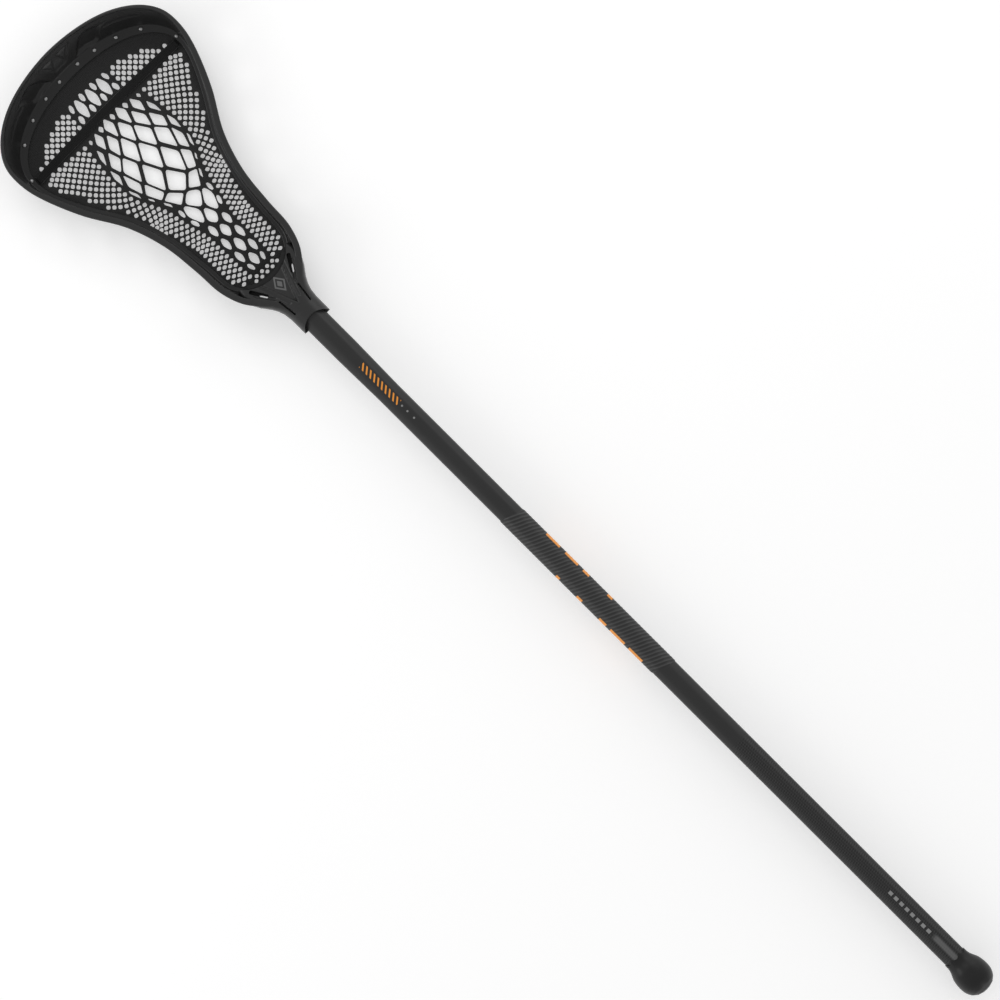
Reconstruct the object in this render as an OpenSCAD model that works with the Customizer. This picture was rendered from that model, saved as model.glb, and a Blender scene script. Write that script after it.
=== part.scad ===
// Lacrosse stick, field size for the women's game, lying face up.
// +Z is the face of the head, +Y points from the butt to the scoop, X is across the head.
// The origin is under the middle of the stick's length, on the surface that it lies on.
// Places along the stick are given as "down", the distance from the scoop's tip towards the butt.

/* [Stick] */
// Overall length, scoop tip to butt end
stick_length = 1092; // [950:1:1150]
// Height of the shaft's axis above the surface
axis_height = 22; // [21.6:0.1:23]

/* [Head] */
// Thickness of the moulded sidewalls and scoop
wall = 2.8; // [2.2:0.1:3.2]
// Thickness of the inner flange that holds the mesh
flange_thick = 1.8; // [1.4:0.1:2]
// Depth of the top rail around the head
rail_deep = 4.6; // [3.5:0.1:5.5]
// Outer diameter of the socket
socket_d = 28.4; // [27.6:0.1:30]
// Distance from the scoop tip to the mouth of the socket
head_length = 313; // [311:1:320]
// How deep the mouth of the socket is scalloped on the face
mouth_scallop = 7.3; // [4:0.1:9]

/* [Mesh] */
// Thickness of the knitted mesh
mesh_thick = 2; // [1.4:0.1:2.2]
// How far the unloaded pocket sags below its border
sag = 5.4; // [2:0.1:5.6]
// Width of the shooting strip
strip_wide = 7.4; // [6:0.1:8.4]
// Thickness of the shooting strip
strip_thick = 2.6; // [2:0.1:3]

/* [Pins] */
// Shank diameter of the scoop pins
pin_d = 2.2; // [1.8:0.1:2.4]
// Head diameter of the scoop pins
pin_head_d = 3.4; // [3:0.1:3.8]
// Shank diameter of the pins under the rails and the throat
rail_pin_d = 1.6; // [1.4:0.1:1.8]
// Head diameter of the pins under the rails and the throat
rail_pin_head_d = 2.8; // [2.4:0.1:3]

/* [Shaft] */
// Width across the flats over most of its length
shaft_flats = 20; // [18.8:0.1:20.2]
// Width across the flats at the head end
shaft_head_flats = 21.8; // [21:0.1:22]
// Wall thickness of the tube
shaft_wall = 1.5; // [1:0.1:2]
// Thickness of the moulded grip coat
grip_thick = 0.25; // [0.2:0.05:0.5]
// Where the grip coat starts, from the scoop tip
grip_from = 539; // [480:1:600]
// Length of the grip coat
grip_long = 177; // [120:1:200]

/* [Butt cap] */
// Length of the cap
cap_long = 41; // [38:1:46]
// Largest diameter of the cap's bulb
cap_d = 30.9; // [28:0.1:33]
// Thickness of the cap's closed end
cap_end = 6; // [4:0.5:8]
// Thickness of the cap's thin sleeve
cap_sleeve = 0.7; // [0.6:0.1:1.2]

/* [Hidden] */
plastic = "#232325";
knit = "#2b2b2d";
carbon = "#333436";
rubber = "#1d1d1f";
steel = "#8a8c90";
gap = 0.15;
fine = 48;
steps = 4;

// One row per station on the right half of the head, from the middle of the scoop to the throat:
// top edge across, down, up; flange tip across, down, up; flange width; rail width; skirt depth.
STATIONS = [
    [0, 0, 42.5, 0, 26.4, 13, 8, 2.5, 3],
    [32, 3.3, 42.8, 27, 28.5, 13, 8, 2.5, 3],
    [58.5, 11.5, 43.3, 48.3, 33.6, 12.8, 7.5, 2.6, 3.2],
    [78.9, 24.7, 43.5, 64.6, 41.2, 12.4, 7, 3, 4],
    [90.9, 41.2, 43, 76.6, 51.7, 11.8, 6, 3.6, 5.5],
    [93.4, 60, 42, 82.4, 64.5, 11.2, 5, 4.4, 7],
    [89, 82.4, 40, 79.8, 83, 10.6, 4.4, 5.2, 8.6],
    [75.2, 115.4, 37, 66, 112, 10.1, 4.2, 5.5, 9.8],
    [56.2, 148.3, 34.5, 46.6, 145, 10, 4.2, 5.5, 10],
    [45.5, 181.3, 33.2, 35.8, 180, 10, 4.2, 5.5, 10],
    [41.7, 214, 33, 31.6, 214, 10, 4.2, 5.5, 10],
    [40.2, 239, 33.4, 29.6, 238, 10.4, 4.2, 5.5, 9.6],
    [34, 258.6, 34.4, 23.6, 250, 10.8, 4.2, 5.5, 8.8],
    [23.2, 272.6, 33.6, 15, 262, 11, 4.2, 5.5, 8]
];
last = len(STATIONS) - 1;

// Windows in the sidewalls: from, to, bottom, top.
WINDOWS = [[64, 90, 15.5, 33.5], [97, 123, 14.5, 30.5], [130, 158, 14.5, 28], [165, 193, 14.5, 26.5],
    [200, 228, 14.5, 26.5]];
window_lean = 5;
window_corner = 2;

// The round throat behind the ball, its ledge over the mesh, and the flare into the socket.
throat_r = 31.9;
throat_down = 226;
ledge = 4.2;
ledge_top = 11;
ledge_under = 9.2;
throat_low = 5;
throat_high = 35;
throat_face = 36;
flare_from = 271;
flare_wide = 27;
flare_to = 297;
flare_r = 32;
socket_deep = 47.5;
screw_down = 303;
screw_d = 3.5;
screw_head_d = 6.8;

// Where the pins stand: rows on the right half of the head, or angles round the throat.
SCOOP_PINS = [0.37, 1.02, 1.92, 3.05, 5];
RAIL_PINS = [5.7, 6.4, 7.1, 7.8, 8.5, 9.2, 9.9, 10.6];
THROAT_PINS = [50, 90, 130];
rail_pin_in = 1.9;
blind = 1.3;

// The cap's bulb: radius, distance from the mouth of the cap.
BULB = [[10.4, 4], [11.9, 8], [13.4, 13], [14.9, 19], [cap_d / 2, cap_long - 16],
    [cap_d / 2 - 0.7, cap_long - 10], [cap_d / 2 - 3.2, cap_long - 5], [8, cap_long - 1.4], [0.01, cap_long]];

function along(down) = stick_length / 2 - down;
function flip(row) = [for (i = [0:len(row) - 1]) i == 0 || i == 3 ? -row[i] : row[i]];
ROUND = [for (i = [last:-1:1]) flip(STATIONS[i]), for (row = STATIONS) row];

// A smooth curve through the rows of a list; u counts rows.
function row_at(list, i) = list[max(0, min(len(list) - 1, i))];
function curve(list, u) =
    let (i = min(floor(u), len(list) - 2), f = u - i)
    let (a = row_at(list, i - 1), b = row_at(list, i), c = row_at(list, i + 1), d = row_at(list, i + 2))
    b + f / 2 * ((c - a) + f * ((2 * a - 5 * b + 4 * c - d) + f * (3 * b - a - 3 * c + d)));
function round_at(u) = curve(ROUND, u + last);

// The rim's section at one row: p runs outwards from the flange's tip, q runs up.
function section(w, h, flange, rail, skirt) = [
    [0.5, -flange_thick],
    [0, -flange_thick / 2],
    [0.5, 0],
    [flange, 0.8],
    [w - rail, h - rail_deep],
    [w - rail, h - 1],
    [w - rail + 0.9, h],
    [w - 1, h],
    [w, h - 1.1],
    [w, h - rail_deep],
    [max(w - rail + wall - 0.4, flange + wall + 0.3), h - rail_deep - 1.2],
    [flange + wall, 1 - skirt],
    [flange + wall - 0.8, -skirt],
    [flange - 0.6, -skirt],
    [flange - 0.6, -flange_thick]
];
function outward(row) = let (v = [row[0] - row[3], row[4] - row[1]]) v / norm(v);
function in_rim(row, p, q) =
    let (out = outward(row))
    [row[3] + p * out[0], along(row[4]) + p * out[1], row[5] + q];
function rim_ring(row) =
    let (w = norm([row[0] - row[3], row[1] - row[4]]))
    [for (k = section(w, row[2] - row[5], row[6], row[7], row[8])) in_rim(row, k[0], k[1])];

// The mesh's outer edge, tucked under the flange: across, down, up, from the scoop to the throat.
tuck = 1.1;
function edge_of(row) = let (e = in_rim(row, row[6] - tuck, 0))
    [e[0], along(e[1]), e[2] - flange_thick - gap];
EDGE = [
    for (u = [0.5:0.5:11]) edge_of(round_at(u)),
    for (a = [30:8:78]) [(throat_r + ledge - tuck) * cos(a), throat_down + (throat_r + ledge - tuck) * sin(a),
        ledge_under - gap]
];
EDGE_ACROSS = [for (e = EDGE) [e[1], e[0]]];
EDGE_UP = [for (e = EDGE) [e[1], e[2]]];
mesh_from = EDGE[0][1];
mesh_to = EDGE[len(EDGE) - 1][1];
function mesh_top(x, down) =
    let (half = lookup(down, EDGE_ACROSS), t = (2 * down - mesh_from - mesh_to) / (mesh_to - mesh_from))
    lookup(down, EDGE_UP) - sag * (1 - pow(abs(t), 4)) * (1 - pow(x / half, 2));
mesh_columns = 8;

// Joins equal rings of points into one closed solid. A band's ring runs out along its top and back
// along its underside, so its ends are closed by a row of quads.
module skin(rings, band = false) {
    n = len(rings[0]);
    m = len(rings);
    points = [for (ring = rings) each ring];
    sides = [for (i = [0:m - 2], j = [0:n - 1]) let (k = (j + 1) % n)
        each [[i * n + j, i * n + k, (i + 1) * n + k], [i * n + j, (i + 1) * n + k, (i + 1) * n + j]]];
    far = (m - 1) * n;
    ends = band
        ? [for (j = [0:n / 2 - 2]) each
            [[n - 1 - j, n - 2 - j, j + 1, j], [far + j, far + j + 1, far + n - 2 - j, far + n - 1 - j]]]
        : [[for (j = [n - 1:-1:0]) j], [for (j = [0:n - 1]) far + j]];
    polyhedron(points, concat(sides, ends), convexity = 8);
}

// Puts a shape made along Z on the shaft's axis, with Z running from the scoop towards the butt.
module on_axis(down) {
    translate([0, along(down), axis_height])
        rotate([90, 0, 0])
            children();
}

module octagon_bar(flats, long) {
    rotate(22.5)
        cylinder(h = long, d = flats / cos(22.5), $fn = 8);
}

module bore(place, d, low, high) {
    translate([place[0], place[1], place[2] + low])
        cylinder(h = high - low, d = d, $fn = 24);
}

// Where each pin goes through the flange, on its upper face.
function scoop_pin_at(u) = let (row = round_at(u)) in_rim(row, min(0.6 * row[6], row[6] - 2.4), 0.45);
function rail_pin_at(u) = in_rim(round_at(u), rail_pin_in, 0);
function throat_pin_at(a) =
    [(throat_r + rail_pin_in) * cos(a), along(throat_down) - (throat_r + rail_pin_in) * sin(a), ledge_top];

module scoop_pin_holes() {
    for (side = [-1, 1], u = SCOOP_PINS) {
        bore(scoop_pin_at(side * u), pin_d + 0.1, -6, 2);
        bore(scoop_pin_at(side * u), pin_head_d + 0.3, 0, 4);
    }
}

module rail_pin_holes() {
    for (side = [-1, 1], u = RAIL_PINS)
        bore(rail_pin_at(side * u), rail_pin_d + 0.1, -8, blind - flange_thick);
    for (a = THROAT_PINS)
        bore(throat_pin_at(a), rail_pin_d + 0.1, -8, blind - flange_thick);
}

module window(from, to, low, high) {
    c = window_corner;
    translate([-100, 0, 0])
        rotate([90, 0, 90])
            linear_extrude(200)
                polygon([
                    [along(to) + c, low],
                    [along(from) - c, low],
                    [along(from), low + c],
                    [along(from) - window_lean, high - c],
                    [along(from) - window_lean - c, high],
                    [along(to) + window_lean / 2 + c, high],
                    [along(to) + window_lean / 2, high - c],
                    [along(to), low + c]
                ]);
}

module rim() {
    difference() {
        skin([for (i = [0:2 * last * steps]) rim_ring(curve(ROUND, i / steps))]);
        for (w = WINDOWS)
            window(w[0], w[1], w[2], w[3]);
    }
}

// Round wall behind the ball, flared into the socket.
module throat() {
    right = [for (u = [last - 2:0.5:last]) let (row = curve(STATIONS, u)) [row[0] - 1.2, along(row[1])]];
    left = [for (i = [len(right) - 1:-1:0]) [-right[i][0], right[i][1]]];
    difference() {
        union() {
            translate([0, 0, throat_low])
                linear_extrude(throat_high - throat_low)
                    polygon(concat(right, left));
            on_axis(flare_from)
                rotate_extrude($fn = fine)
                    difference() {
                        square([flare_wide, flare_to - flare_from]);
                        translate([socket_d / 2 + flare_r, flare_to - flare_from])
                            circle(r = flare_r, $fn = fine);
                    }
        }
        translate([0, along(throat_down), ledge_top])
            cylinder(h = 40, r = throat_r + ledge, $fn = fine);
        translate([0, along(throat_down), -1])
            cylinder(h = ledge_under + 1, r = throat_r + ledge, $fn = fine);
        translate([0, along(throat_down), -1])
            cylinder(h = 40, r = throat_r, $fn = fine);
        translate([-60, along(head_length), throat_face])
            cube([120, 80, 30]);
        translate([-60, along(head_length), throat_low - 30])
            cube([120, 80, 30]);
    }
}

module socket() {
    difference() {
        on_axis(flare_to - 8)
            cylinder(h = head_length - flare_to + 8, d = socket_d, $fn = fine);
        translate([0, along(head_length) - socket_d / 2 + mouth_scallop, axis_height])
            cylinder(h = 30, r = socket_d / 2, $fn = fine);
    }
}

module screw_hole() {
    translate([0, along(screw_down), 0])
        cylinder(h = axis_height, d = screw_d + 0.2, $fn = 24);
}

module head_frame() {
    color(plastic)
        difference() {
            union() {
                rim();
                throat();
                socket();
            }
            on_axis(head_length - socket_deep)
                octagon_bar(shaft_head_flats + 0.3, socket_deep + 1);
            scoop_pin_holes();
            rail_pin_holes();
            screw_hole();
            translate([0, along(screw_down), axis_height - socket_d / 2 - 1])
                cylinder(h = 2.2, d = screw_head_d + 0.6, $fn = 24);
        }
}

// Knitted mesh, border tucked under the flange, pocket sagging between the rails.
module mesh_pocket() {
    across = [for (k = [-mesh_columns:mesh_columns]) k / mesh_columns];
    color(knit)
        skin([for (e = EDGE) [
            for (f = across) [f * e[0], along(e[1]), mesh_top(f * e[0], e[1])],
            for (f = across) [-f * e[0], along(e[1]), mesh_top(f * e[0], e[1]) - mesh_thick]
        ]], true);
}

// Thick woven band across the mesh, bowed a little towards the scoop.
strip_middle = 65;
strip_bow = 2.5;
strip_half = 80.4;
module shooting_strip() {
    w = strip_wide / 2;
    t = strip_thick;
    ring = [[-w, 0.6], [-w + 0.6, 0], [w - 0.6, 0], [w, 0.6], [w, t - 0.8], [w - 1.2, t], [1.2 - w, t], [-w, t - 0.8]];
    color(knit)
        skin([for (f = [-1:0.125:1])
            let (x = f * strip_half, down = strip_middle + strip_bow * f * f)
            [for (k = ring) [x, along(down + k[0]), mesh_top(x, down) + 2 * gap + k[1]]]]);
}

// A pin with its head on top of the flange and a clinched collar under the mesh.
module scoop_pin(place) {
    translate([place[0], place[1], place[2]]) {
        translate([0, 0, gap])
            cylinder(h = 0.5, d = pin_head_d, $fn = 24);
        translate([0, 0, gap + 0.5])
            cylinder(h = 0.5, d1 = pin_head_d, d2 = pin_head_d - 1.4, $fn = 24);
        translate([0, 0, -6.2])
            cylinder(h = 6.4, d = pin_d, $fn = 24);
        translate([0, 0, -6.2])
            cylinder(h = 0.8, d = pin_d + 0.9, $fn = 24);
    }
}

module scoop_pins() {
    color(steel)
        for (side = [-1, 1], u = SCOOP_PINS)
            scoop_pin(scoop_pin_at(side * u));
}

// A barbed pin pressed up through the mesh's border into the flange.
module rail_pin(place) {
    top = blind - flange_thick - 0.1;
    under = flange_thick + gap + mesh_thick + 0.5;
    translate([place[0], place[1], place[2]]) {
        translate([0, 0, -under - 0.2])
            cylinder(h = under + 0.2 + top, d = rail_pin_d, $fn = 24);
        translate([0, 0, -under - 0.8])
            cylinder(h = 0.8, d = rail_pin_head_d, $fn = 24);
    }
}

module left_rail_pins() {
    color(plastic)
        for (u = RAIL_PINS)
            rail_pin(rail_pin_at(-u));
}

module right_rail_pins() {
    color(plastic)
        for (u = RAIL_PINS)
            rail_pin(rail_pin_at(u));
}

module throat_pins() {
    color(plastic)
        for (a = THROAT_PINS)
            rail_pin(throat_pin_at(a));
}

// Foam pad on the throat's round wall, where the ball comes to rest.
pad_thick = 3.6;
pad_half_angle = 38;
module ball_stop() {
    color(rubber)
        translate([0, along(throat_down), ledge_top + 0.3])
            rotate(-90 - pad_half_angle)
                rotate_extrude(angle = 2 * pad_half_angle, $fn = fine)
                    translate([throat_r + ledge - gap - pad_thick, 0])
                        square([pad_thick, throat_high - ledge_top - 2]);
}

// Pan head screw up through the back of the socket and the shaft's wall.
module head_screw() {
    seat = axis_height - socket_d / 2 + 1.2;
    color(steel)
        translate([0, along(screw_down), 0])
            difference() {
                union() {
                    translate([0, 0, seat - gap - 2])
                        cylinder(h = 2, d = screw_head_d, $fn = 24);
                    translate([0, 0, seat - 1])
                        cylinder(h = 7.4, d = screw_d, $fn = 24);
                }
                for (turn = [0, 90])
                    translate([0, 0, seat - gap - 2])
                        rotate(turn)
                            cube([4, 0.9, 2], center = true);
            }
}

// Octagonal tube: full width in the socket, tapering to the main width below the head.
module shaft() {
    from = head_length - socket_deep + 0.4;
    to = stick_length - cap_end - 0.4;
    PLACES = [from, 346, 396, to];
    FLATS = [shaft_head_flats, shaft_head_flats, shaft_flats, shaft_flats];
    color(carbon)
        difference() {
            tube(PLACES, FLATS);
            tube([from - 1, 346, 396, to + 1], FLATS - 2 * shaft_wall * [1, 1, 1, 1]);
            screw_hole();
        }
}

module tube(places, flats) {
    skin([for (i = [0:len(places) - 1])
        [for (a = [337.5:-45:0]) let (r = flats[i] / 2 / cos(22.5))
            [r * cos(a), along(places[i]), axis_height + r * sin(a)]]]);
}

// Thin ribbed coat moulded round the shaft where the lower hand slides.
module grip_coat() {
    inside = shaft_flats + 0.1;
    color(rubber)
        on_axis(grip_from)
            difference() {
                octagon_bar(inside + 2 * grip_thick, grip_long);
                translate([0, 0, -1])
                    octagon_bar(inside, grip_long + 2);
            }
}

// Rubber cap: a thin octagonal sleeve and a round bulb.
module butt_cap() {
    bulb = [for (i = [0:(len(BULB) - 1) * 3]) curve(BULB, i / 3)];
    color(rubber)
        on_axis(stick_length - cap_long)
            difference() {
                union() {
                    octagon_bar(shaft_flats + 0.3 + 2 * cap_sleeve, 14);
                    rotate_extrude($fn = fine)
                        polygon(concat([[0, 4]], bulb));
                }
                translate([0, 0, -1])
                    octagon_bar(shaft_flats + 0.3, cap_long - cap_end + 1);
            }
}

head_frame();
mesh_pocket();
shooting_strip();
scoop_pins();
left_rail_pins();
right_rail_pins();
throat_pins();
ball_stop();
head_screw();
shaft();
grip_coat();
butt_cap();
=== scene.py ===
import math

import bmesh
import bpy
from mathutils import Matrix, Vector
from mathutils.geometry import delaunay_2d_cdt
from mathutils.kdtree import KDTree


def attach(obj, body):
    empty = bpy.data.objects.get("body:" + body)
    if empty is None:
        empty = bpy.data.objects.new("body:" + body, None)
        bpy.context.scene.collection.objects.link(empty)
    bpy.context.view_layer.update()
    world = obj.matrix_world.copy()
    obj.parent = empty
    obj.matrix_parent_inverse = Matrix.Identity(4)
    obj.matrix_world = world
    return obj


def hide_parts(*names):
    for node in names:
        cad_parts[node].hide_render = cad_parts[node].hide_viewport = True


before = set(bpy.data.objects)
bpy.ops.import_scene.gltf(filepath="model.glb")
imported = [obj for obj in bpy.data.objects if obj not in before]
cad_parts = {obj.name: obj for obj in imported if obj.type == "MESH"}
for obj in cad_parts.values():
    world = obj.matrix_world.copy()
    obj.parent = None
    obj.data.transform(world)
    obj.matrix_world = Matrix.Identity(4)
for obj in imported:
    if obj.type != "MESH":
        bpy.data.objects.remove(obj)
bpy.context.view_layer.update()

LENGTH = 1092
AXIS = 22
SCALE = 0.001


# --- The moulded head -------------------------------------------------------------------------
# One piece of injection-moulded nylon: scoop, two sidewalls with a rolled top rail and a thin
# inner flange, and a throat that flares into the round socket for the shaft.

class Wire:
    """A socket in a material's node tree that can be used in sums."""

    def __init__(self, paint, socket):
        self.paint = paint
        self.socket = socket

    def __add__(self, other):
        return self.paint.math("ADD", self, other)

    def __radd__(self, other):
        return self.paint.math("ADD", other, self)

    def __sub__(self, other):
        return self.paint.math("SUBTRACT", self, other)

    def __rsub__(self, other):
        return self.paint.math("SUBTRACT", other, self)

    def __mul__(self, other):
        return self.paint.math("MULTIPLY", self, other)

    def __rmul__(self, other):
        return self.paint.math("MULTIPLY", other, self)

    def __truediv__(self, other):
        return self.paint.math("DIVIDE", self, other)

    def __abs__(self):
        return self.paint.math("ABSOLUTE", self)


class Paint:
    """A procedural material: a Principled shader and the nodes that feed it."""

    def __init__(self, name, **fixed):
        self.material = bpy.data.materials.new(name)
        self.material.use_nodes = True
        self.tree = self.material.node_tree
        self.shader = self.tree.nodes["Principled BSDF"]
        for key, value in fixed.items():
            self.shader.inputs[key.replace("_", " ")].default_value = value
        place = self.node("ShaderNodeTexCoord", out="Object")
        split = self.node("ShaderNodeSeparateXYZ", Vector=place).socket.node
        self.place = place
        self.x, self.y, self.z = (Wire(self, out) * 1000 for out in split.outputs)
        self.down = LENGTH / 2 - self.y

    def feed(self, socket, value):
        if isinstance(value, Wire):
            self.tree.links.new(value.socket, socket)
        else:
            socket.default_value = value

    def node(self, kind, settings=(), out=0, **inputs):
        made = self.tree.nodes.new(kind)
        for key, value in dict(settings).items():
            setattr(made, key, value)
        for key, value in inputs.items():
            self.feed(made.inputs[key.replace("_", " ")], value)
        return Wire(self, made.outputs[out])

    def math(self, operation, *values):
        made = self.tree.nodes.new("ShaderNodeMath")
        made.operation = operation
        for socket, value in zip(made.inputs, values):
            self.feed(socket, value)
        return Wire(self, made.outputs[0])

    def step(self, value, low, high):
        """0 below low, 1 above high, smooth between them."""
        return self.node("ShaderNodeMapRange", {"interpolation_type": "SMOOTHSTEP"},
                         Value=value, From_Min=low, From_Max=high)

    def band(self, value, low, high, soft=0.2):
        """1 between low and high, 0 outside."""
        return self.step(value, low - soft, low + soft) * (1 - self.step(value, high - soft, high + soft))

    def noise(self, scale, detail=3.0, place=None):
        return self.node("ShaderNodeTexNoise", Vector=place or self.place, Scale=scale, Detail=detail)

    def mix(self, share, first, second):
        made = self.tree.nodes.new("ShaderNodeMix")
        made.data_type = "RGBA"
        self.feed(made.inputs[0], share)
        self.feed(made.inputs[6], first)
        self.feed(made.inputs[7], second)
        return Wire(self, made.outputs[2])

    def drive(self, **inputs):
        for key, value in inputs.items():
            self.feed(self.shader.inputs[key.replace("_", " ")], value)

    def bump(self, height, distance, strength=1.0):
        """Relief of this depth in millimetres where height goes from 0 to 1."""
        self.drive(Normal=self.node("ShaderNodeBump", Height=height, Distance=distance * SCALE,
                                    Strength=strength))


def grey(level):
    return (level, level, level, 1)


def along(down):
    return LENGTH / 2 - down


def lookup(value, table):
    """Straight-line reading of a table of (value, result)."""
    for (a, p), (b, q) in zip(table, table[1:]):
        if value <= b:
            return p + (q - p) * max(0, (value - a)) / (b - a)
    return table[-1][1]


def curve(rows, u):
    """A smooth curve through rows of numbers; u counts rows."""
    i = min(math.floor(u), len(rows) - 2)
    f = u - i
    near = [rows[max(0, min(len(rows) - 1, k))] for k in (i - 1, i, i + 1, i + 2)]
    return [q + f / 2 * ((r - p) + f * ((2 * p - 5 * q + 4 * r - s) + f * (3 * q - p - 3 * r + s)))
            for p, q, r, s in zip(*near)]


def rounded(corners, radius, steps=3):
    """A closed outline with its corners rounded; radius is one number or one per corner."""
    out = []
    for i, corner in enumerate(corners):
        c = Vector(corner)
        before = Vector(corners[i - 1]) - c
        after = Vector(corners[(i + 1) % len(corners)]) - c
        r = radius[i] if isinstance(radius, list) else radius
        p = c + before.normalized() * min(r, 0.46 * before.length)
        q = c + after.normalized() * min(r, 0.46 * after.length)
        for k in range(steps + 1):
            t = k / steps
            out.append((1 - t) ** 2 * p + 2 * t * (1 - t) * c + t * t * q)
    return out


def from_line(point, a, b):
    """Distance of a point in the plane from the line between a and b."""
    d = (b[0] - a[0], b[1] - a[1])
    t = ((point[0] - a[0]) * d[0] + (point[1] - a[1]) * d[1]) / (d[0] ** 2 + d[1] ** 2)
    t = max(0, min(1, t))
    return math.hypot(point[0] - a[0] - t * d[0], point[1] - a[1] - t * d[1])


def smooth(value, low, high):
    t = max(0, min(1, (value - low) / (high - low)))
    return t * t * (3 - 2 * t)


def inside(point, corners):
    """Distance from an outline's edge, above 0 inside it."""
    edges = list(zip(corners, corners[1:] + corners[:1]))
    near = min(from_line(point, a, b) for a, b in edges)
    crossings = 0
    for a, b in edges:
        if (a[1] > point[1]) != (b[1] > point[1]):
            if point[0] < a[0] + (point[1] - a[1]) * (b[0] - a[0]) / (b[1] - a[1]):
                crossings += 1
    return near if crossings % 2 else -near


def loft(rings, ends=True):
    """Vertices and faces of a skin over equal rings, with its two ends closed."""
    n = len(rings[0])
    verts = [v for ring in rings for v in ring]
    faces = [(i * n + j, i * n + (j + 1) % n, (i + 1) * n + (j + 1) % n, (i + 1) * n + j)
             for i in range(len(rings) - 1) for j in range(n)]
    if ends:
        faces += [tuple(range(n - 1, -1, -1)), tuple(range(len(verts) - n, len(verts)))]
    return verts, faces


def loop_loft(rings):
    """Vertices and faces of a skin over rings that come back to the first one."""
    verts, faces = loft(rings + rings[:1], ends=False)
    verts = verts[:-len(rings[0])]
    return verts, [tuple(i % len(verts) for i in f) for f in faces]


def make(name, verts, faces, material):
    """An object from points in millimetres, with every face turned outwards."""
    mesh = bpy.data.meshes.new(name)
    mesh.from_pydata([Vector(v) * SCALE for v in verts], [], faces)
    made = bpy.data.objects.new(name, mesh)
    bpy.context.collection.objects.link(made)
    mesh.materials.append(material)
    edit = bmesh.new()
    edit.from_mesh(mesh)
    bmesh.ops.recalc_face_normals(edit, faces=edit.faces)
    edit.to_mesh(mesh)
    edit.free()
    return made


def shade(piece, crease=35):
    """Smooth shading, with edges sharper than this many degrees kept crisp."""
    edit = bmesh.new()
    edit.from_mesh(piece.data)
    for face in edit.faces:
        face.smooth = True
    for edge in edit.edges:
        edge.smooth = edge.calc_face_angle(0) < math.radians(crease)
    edit.to_mesh(piece.data)
    edit.free()


def bake(piece):
    """Turns a piece's modifiers into plain mesh."""
    graph = bpy.context.evaluated_depsgraph_get()
    mesh = bpy.data.meshes.new_from_object(piece.evaluated_get(graph))
    piece.modifiers.clear()
    piece.data = mesh


def carve(piece, cutters):
    """Cuts shapes out of a piece."""
    for cutter in cutters:
        cut = piece.modifiers.new("cut", "BOOLEAN")
        cut.operation = "DIFFERENCE"
        cut.solver = "EXACT"
        cut.object = cutter
    bake(piece)
    for cutter in cutters:
        bpy.data.objects.remove(cutter)


def join(name, pieces):
    """One object from several."""
    edit = bmesh.new()
    for piece in pieces:
        edit.from_mesh(piece.data)
    mesh = bpy.data.meshes.new(name)
    edit.to_mesh(mesh)
    edit.free()
    for material in pieces[0].data.materials:
        mesh.materials.append(material)
    made = bpy.data.objects.new(name, mesh)
    bpy.context.collection.objects.link(made)
    for piece in pieces:
        bpy.data.objects.remove(piece)
    return made


def prism(outline, low, high, place):
    """A bar with this outline; place turns a point and a height into a place on the stick."""
    rings = [[place(p, h) for p in outline] for h in (low, high)]
    return make("cutter", *loft(rings), head_plastic)


plastic = Paint("head_plastic", Specular_IOR_Level=0.3)
badge = abs(plastic.x) / 5.6 + abs(plastic.down - 269.5) / 8
ring_mark = plastic.band(badge, 0.72, 1, 0.03) + 1 - plastic.step(badge, 0.4, 0.46)
ring_mark = ring_mark * plastic.step(plastic.z, AXIS + 6, AXIS + 8)
cloud = plastic.noise(30, 4)
# Painted highlight: the plastic is painted lighter from 24 to 36 mm up, so the rail's top edge looks lit,
# over a random cloud of tone.
cloud_and_top_highlight = plastic.mix(0.4 * cloud + 0.6 * plastic.step(plastic.z, 24, 36), grey(0.013), grey(0.03))
# Painted shade: the wing recesses in the scoop's slope are painted near-black, and the same patch is made a
# little glossier.
wing_across = (abs(plastic.x) - 31) / 12
wing_down = (plastic.down - 14.5) / 4.8
away = plastic.math("SQRT", wing_across * wing_across + wing_down * wing_down)
recess_shade = (1 - plastic.step(away, 0.65, 1.15)) * plastic.step(plastic.z, 28, 30)
lit_and_shaded_plastic = plastic.mix(recess_shade, cloud_and_top_highlight, grey(0.002))
plastic.drive(Base_Color=plastic.mix(0.6 * ring_mark, lit_and_shaded_plastic, grey(0.2)),
              Roughness=0.24 + 0.14 * plastic.noise(55) - 0.1 * recess_shade)
plastic.bump(plastic.noise(1400, 2), 0.03)
head_plastic = plastic.material

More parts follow.
